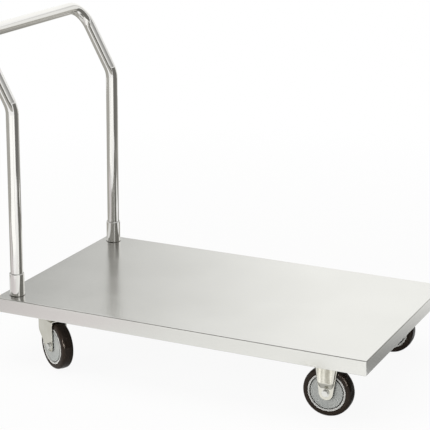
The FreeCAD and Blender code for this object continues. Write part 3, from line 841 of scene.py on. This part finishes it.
@dataclass
class Viewpoint:
    """The camera: where it stands, how it is turned in degrees, and its lens on a square frame."""

    eye: Triple = (1.635, -3.525, 1.529)
    yaw: float = 24.73
    pitch: float = 16.47
    roll: float = 0.49
    frame_pixels: float = 430.0
    focal_pixels: float = 1584.4
    sensor: float = 36.0

    def build(self) -> None:
        """Adds the camera and makes it the scene's own."""
        data = bpy.data.cameras.new("photo_view")
        data.sensor_width = self.sensor
        data.lens = self.sensor * self.focal_pixels / self.frame_pixels
        camera = bpy.data.objects.new("photo_view", data)
        bpy.context.scene.collection.objects.link(camera)
        upright = Matrix.Rotation(math.pi / 2 - math.radians(self.pitch), 4, "X")
        turned = Matrix.Rotation(math.radians(self.yaw), 4, "Z") @ upright
        camera.matrix_world = (Matrix.Translation(self.eye) @ turned
                               @ Matrix.Rotation(math.radians(self.roll), 4, "Z"))
        bpy.context.scene.camera = camera


@dataclass
class Palette:
    """The finishes as materials, each made once."""

    made: dict[str, bpy.types.Material] = field(default_factory=dict)

    def of(self, finish: Finish) -> bpy.types.Material:
        """Finds the material of a finish, or makes it.

        Args:
            finish: The finish.

        Returns:
            Its material.
        """
        if finish.name not in self.made:
            self.made[finish.name] = finish.material()
        return self.made[finish.name]

    def dress(self, piece: bpy.types.Object, finish: Finish) -> None:
        """Gives a piece one finish all over."""
        piece.data.materials.clear()
        piece.data.materials.append(self.of(finish))


@dataclass
class SubAssembly:
    """What every sub-assembly shares: palette, patterns, finishes, and putting pieces on bodies."""

    palette: Palette
    patterns: Patterns

    def node_finishes(self) -> dict[str, Finish]:
        """The finish of each CAD node in the sub-assembly."""
        return {}

    def dress(self) -> None:
        """Dresses the sub-assembly's CAD nodes."""
        for node, finish in self.node_finishes().items():
            self.palette.dress(frame["nodes"][node], finish)
            LOG.info("%s is finished as %s", node, finish.name)

    def fit(self, piece: bpy.types.Object, body: str, finish: Finish, *nodes: str) -> None:
        """Puts a new piece on its body, dresses it and hides the nodes that it stands for.

        Args:
            piece: The new piece.
            body: The body that it moves with.
            finish: Its finish.
            nodes: The CAD nodes that it replaces.
        """
        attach(piece, body)
        if nodes:
            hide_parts(*nodes)
        self.palette.dress(piece, finish)
        LOG.info("%s rides on %s", piece.name, body)


@dataclass
class CornerAssembly(SubAssembly):
    """A sub-assembly that stands at one corner of the trolley."""

    kind: CasterKind
    side: Side

    @property
    def corner(self) -> str:
        """The corner, as its nodes name it."""
        return self.kind.value + "_" + self.side.value


@dataclass
class Deck(SubAssembly):
    """The folded deck, with its channels, stiffeners and plates."""

    body: str = CHASSIS
    fold: float = 2.4 * MM
    fold_steps: int = 4
    foot_depth: float = 6.0 * MM

    PANELS: ClassVar[tuple[str, ...]] = ("front_cross_channel", "rear_cross_channel", "left_stiffener",
                                         "right_stiffener", "left_backing_plate", "right_backing_plate")
    FASTENERS: ClassVar[tuple[str, ...]] = ("caster_washers", "caster_bolts", "caster_weld_nuts")

    def node_finishes(self) -> dict[str, Finish]:
        """Chooses the finish of each CAD node in the deck.

        Returns:
            The finish of each node.
        """
        finishes = {node: DECK_STEEL for node in ("deck_sheet", *self.PANELS)}
        finishes.update({node: FASTENER_ZINC for node in self.FASTENERS})
        return finishes

    def sheet(self) -> None:
        """Rounds the folds at the foot of the turned-down edges, as a press brake leaves them."""
        low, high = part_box("deck_sheet")
        piece = Bench.copied("deck_sheet", "deck_sheet_folded")
        bpy.ops.object.mode_set(mode="EDIT")
        bpy.ops.mesh.select_mode(type="EDGE")
        bpy.ops.mesh.select_all(action="DESELECT")
        bpy.ops.mesh.edges_select_sharp(sharpness=math.radians(SHARP_DEGREES))
        bpy.ops.object.mode_set(mode="OBJECT")
        mesh = piece.data
        for edge in mesh.edges:
            ends = [mesh.vertices[index].co for index in edge.vertices]
            edge.select = edge.select and all(self.on_fold(end, low, high) for end in ends)
        bpy.ops.object.mode_set(mode="EDIT")
        bpy.ops.mesh.bevel(offset=self.fold, segments=self.fold_steps, affect="EDGES")
        bpy.ops.mesh.select_mode(type="VERT")
        bpy.ops.object.mode_set(mode="OBJECT")
        Bench.smooth(piece)
        self.fit(piece, self.body, DECK_STEEL, "deck_sheet")

    def on_fold(self, point: Vector, low: Vector, high: Vector) -> bool:
        """Tells whether a point lies on the outer foot of the turned-down edges.

        Args:
            point: The point.
            low: The sheet's lower corner.
            high: The sheet's upper corner.

        Returns:
            True on the foot.
        """
        inset = min(point.x - low.x, high.x - point.x, point.y - low.y, high.y - point.y)
        return point.z - low.z < MERGE and inset < self.foot_depth

    def build(self) -> None:
        """Folds the sheet's foot and breaks the sheared edges of the panels under the deck."""
        self.sheet()
        for node in self.PANELS:
            self.fit(Bench.deburred(node, Edge.SHEARED), self.body, DECK_STEEL, node)


@dataclass
class Handle(SubAssembly):
    """The push handle and the two sockets that it plugs into."""

    body: str = CHASSIS
    socket_radius: float = 19.0 * MM
    socket_bore: float = 16.05 * MM
    socket_edge: float = 1.6 * MM
    mouth: float = 0.9 * MM
    mouth_depth: float = 5.0 * MM
    mouth_edge: float = 0.2 * MM
    bead: float = 1.7 * MM
    bead_edge: float = 0.3 * MM

    TUBES: ClassVar[tuple[str, ...]] = ("handle_tube", "left_socket", "right_socket", "handle_plugs")
    FASTENERS: ClassVar[tuple[str, ...]] = ("handle_washers", "handle_bolts")

    def node_finishes(self) -> dict[str, Finish]:
        """Chooses the finish of each CAD node in the handle.

        Returns:
            The finish of each node.
        """
        finishes = {node: TUBE_STEEL for node in self.TUBES}
        finishes.update({node: FASTENER_ZINC for node in self.FASTENERS})
        return finishes

    def socket(self, side: Side) -> None:
        """Adds a socket with an open mouth round the tube, and the weld bead at its foot.

        Args:
            side: The side that the socket stands on.
        """
        node = side.value + "_socket"
        low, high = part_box(node)
        deck_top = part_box("deck_sheet")[1].z
        foot = Vector(((low.x + high.x) / 2, (low.y + high.y) / 2, deck_top))
        lathe = Lathe(foot, UP, ALONG)
        top = high.z - deck_top
        bottom = low.z - deck_top
        mouth = self.socket_bore + self.mouth
        collar = [(bottom, self.socket_bore, 0.0), (bottom, self.socket_radius, 0.0),
                  (top, self.socket_radius, self.socket_edge), (top, mouth, self.mouth_edge),
                  (top - self.mouth_depth, mouth, 0.0), (top - self.mouth_depth, self.socket_bore, 0.0)]
        self.fit(self.patterns.turned("turned", node, lathe, [collar]), self.body, TUBE_STEEL, node)
        inside = self.socket_radius - self.bead / 2
        bead = [(0.0, inside, 0.0), (0.0, self.socket_radius + self.bead, self.bead_edge),
                (self.bead, self.socket_radius, self.bead_edge), (self.bead, inside, 0.0)]
        # The bead's dark finish is painted shade round the socket's foot
        self.fit(self.patterns.turned("weld_bead", node, lathe, [bead]), self.body, WELD_PAINTED_SHADE)

    def build(self) -> None:
        """Builds both sockets."""
        for side in Side:
            self.socket(side)


@dataclass
class Wheel(CornerAssembly):
    """A wheel with its tyre, core and covers, and the axle bolt that it turns on."""

    half_width: float = 16.0 * MM
    tread_half: float = 8.0 * MM
    tread_radius: float = 62.0 * MM
    crown_rise: float = 0.2 * MM
    crown_fall: float = 0.05 * MM
    seam_height: float = 0.3 * MM
    seam_half: float = 0.5 * MM
    shoulder_radius: float = 54.0 * MM
    shoulder_steps: int = 14
    wall_step: float = 0.4 * MM
    wall_margin: float = 2.0 * MM
    rim_radius: float = 48.0 * MM
    rim_inside: float = 43.5 * MM
    rim_edge: float = 1.0 * MM
    fine_edge: float = 0.4 * MM
    bore_edge: float = 0.2 * MM
    web_half: float = 6.0 * MM
    hub_radius: float = 21.0 * MM
    hub_half: float = 13.5 * MM
    bearing_radius: float = 16.05 * MM
    bearing_inner: float = 4.5 * MM
    hub_shoulder: float = 12.0 * MM
    cover_radius: float = 41.0 * MM
    cover_hole: float = 9.5 * MM
    cover_face: float = 15.5 * MM
    cover_edge: float = 0.7 * MM
    lip_width: float = 3.0 * MM
    ring_reach: float = 5.0 * MM
    ring_width: float = 2.0 * MM
    raised_slope: float = 0.6 * MM
    raised_edge: float = 0.3 * MM

    @property
    def body(self) -> str:
        """The body that turns."""
        return self.corner + "_wheel"

    @property
    def axle_body(self) -> str:
        """The body that holds the axle."""
        return CHASSIS if self.kind is CasterKind.FIXED else self.corner + "_swivel"

    def lathe(self) -> Lathe:
        """The wheel's own axle, from its joint."""
        joint = next(joint for joint in frame["joints"] if joint["child"] == self.body)
        return Lathe(Vector(joint["pos_m"]), Vector(joint["axis"]), UP)

    @staticmethod
    def mirrored(half: Corners) -> Corners:
        """The other half of an outline that is the same on both sides of the wheel."""
        return [(-along, radius, edge) for along, radius, edge in reversed(half)]

    def node_finishes(self) -> dict[str, Finish]:
        """Chooses the finish of each CAD node in the wheel.

        Returns:
            The finish of each node.
        """
        finishes = {"tyre": TYRE_RUBBER, "wheel_core": RIM_PLASTIC, "thread_guards": COVER_PLASTIC,
                    "bearings": BEARING_STEEL, "axle_sleeve": BEARING_STEEL, "axle_bolt": FASTENER_ZINC,
                    "axle_nut": FASTENER_ZINC}
        return {self.corner + "_" + piece: finish for piece, finish in finishes.items()}

    def tyre(self) -> None:
        """Adds the tyre, with stepped side walls, round shoulders and the mould's seam round the tread."""
        foot = self.rim_radius + self.wall_margin
        half = [(self.half_width - self.wall_step, self.rim_radius, 0.0),
                (self.half_width - self.wall_step, foot, 0.0),
                (self.half_width, foot + self.wall_step, 0.0)]
        across = self.half_width - self.tread_half
        rise = self.tread_radius - self.shoulder_radius
        for step in range(self.shoulder_steps + 1):
            angle = math.pi / 2 * step / self.shoulder_steps
            half.append((self.tread_half + across * math.cos(angle),
                         self.shoulder_radius + rise * math.sin(angle), 0.0))
        crown = self.tread_radius + self.crown_rise
        half += [(self.tread_half / 2, crown - self.crown_fall, 0.0), (self.seam_half, crown, 0.0),
                 (self.seam_half / 2, crown + self.seam_height, 0.0)]
        tyre = self.patterns.turned(TYRE, self.corner, self.lathe(), [half + self.mirrored(half)])
        self.fit(tyre, self.body, TYRE_RUBBER, self.corner + "_tyre")

    def core(self) -> None:
        """Adds the core, with the rim's edges rounded."""
        half = [(self.half_width, self.rim_radius, self.fine_edge),
                (self.half_width, self.rim_inside, self.rim_edge),
                (self.web_half, self.rim_inside, self.rim_edge),
                (self.web_half, self.hub_radius, self.rim_edge),
                (self.hub_half, self.hub_radius, self.fine_edge),
                (self.hub_half, self.bearing_radius, self.bore_edge),
                (self.bearing_inner, self.bearing_radius, 0.0),
                (self.bearing_inner, self.hub_shoulder, 0.0)]
        core = self.patterns.turned("core_moulded", self.corner, self.lathe(), [half + self.mirrored(half)])
        self.fit(core, self.body, RIM_PLASTIC, self.corner + "_wheel_core")

    def covers(self) -> None:
        """Adds the two covers, each with a raised lip and a raised ring round the axle."""
        lip = self.cover_radius - self.lip_width
        ring = self.cover_hole + self.ring_reach
        inner = ring - self.ring_width
        edge = self.raised_edge
        half = [(self.hub_half, self.cover_hole, 0.0), (self.cover_face, self.cover_hole, edge),
                (self.cover_face, inner - self.raised_slope, edge), (self.half_width, inner, edge),
                (self.half_width, ring, edge), (self.cover_face, ring + self.raised_slope, edge),
                (self.cover_face, lip - self.raised_slope, edge), (self.half_width, lip, edge),
                (self.half_width, self.cover_radius, self.cover_edge),
                (self.hub_half, self.cover_radius, 0.0)]
        outlines = [half, self.mirrored(half)]
        covers = self.patterns.turned("covers_moulded", self.corner, self.lathe(), outlines)
        self.fit(covers, self.body, COVER_PLASTIC, self.corner + "_thread_guards")

    def build(self) -> None:
        """Builds the wheel and breaks the edges of its axle bolt and nut."""
        self.tyre()
        self.core()
        self.covers()
        for piece in ("axle_bolt", "axle_nut"):
            node = self.corner + "_" + piece
            self.fit(Bench.deburred(node, Edge.CHAMFERED), self.axle_body, FASTENER_ZINC, node)


@dataclass
class Caster(CornerAssembly):
    """A caster's metal: the bracket of a fixed one, or the plate, ring, pin and fork of a swivel one."""

    @property
    def pressings(self) -> dict[str, str]:
        """Names the pressed pieces and the bodies that they move with.

        Returns:
            The body of each piece.
        """
        if self.kind is CasterKind.FIXED:
            return {"bracket": CHASSIS}
        return {"top_plate": CHASSIS, "dust_ring": CHASSIS, "fork": self.corner + "_swivel"}

    def node_finishes(self) -> dict[str, Finish]:
        """Chooses the finish of each CAD node in the caster.

        Returns:
            The finish of each node.
        """
        finishes = {self.corner + "_" + piece: CASTER_ZINC for piece in self.pressings}
        if self.kind is CasterKind.SWIVEL:
            for piece in ("king_pin", "bearing_balls"):
                finishes[self.corner + "_" + piece] = BEARING_STEEL
        return finishes

    def build(self) -> None:
        """Breaks the edges of the pressed pieces."""
        for piece, body in self.pressings.items():
            node = self.corner + "_" + piece
            self.fit(Bench.deburred(node, Edge.PRESSED), body, CASTER_ZINC, node)


def main() -> None:
    """Builds and dresses the trolley, then sets the studio and the viewpoint round it."""
    logging.basicConfig(level=logging.INFO)
    palette, patterns = Palette(), Patterns()
    assemblies = [Deck(palette, patterns), Handle(palette, patterns)]
    for kind in CasterKind:
        for side in Side:
            assemblies += [Caster(palette, patterns, kind, side), Wheel(palette, patterns, kind, side)]
    for assembly in assemblies:
        assembly.dress()
        assembly.build()
    Studio().build()
    Viewpoint().build()


if __name__ == "__main__":
    main()
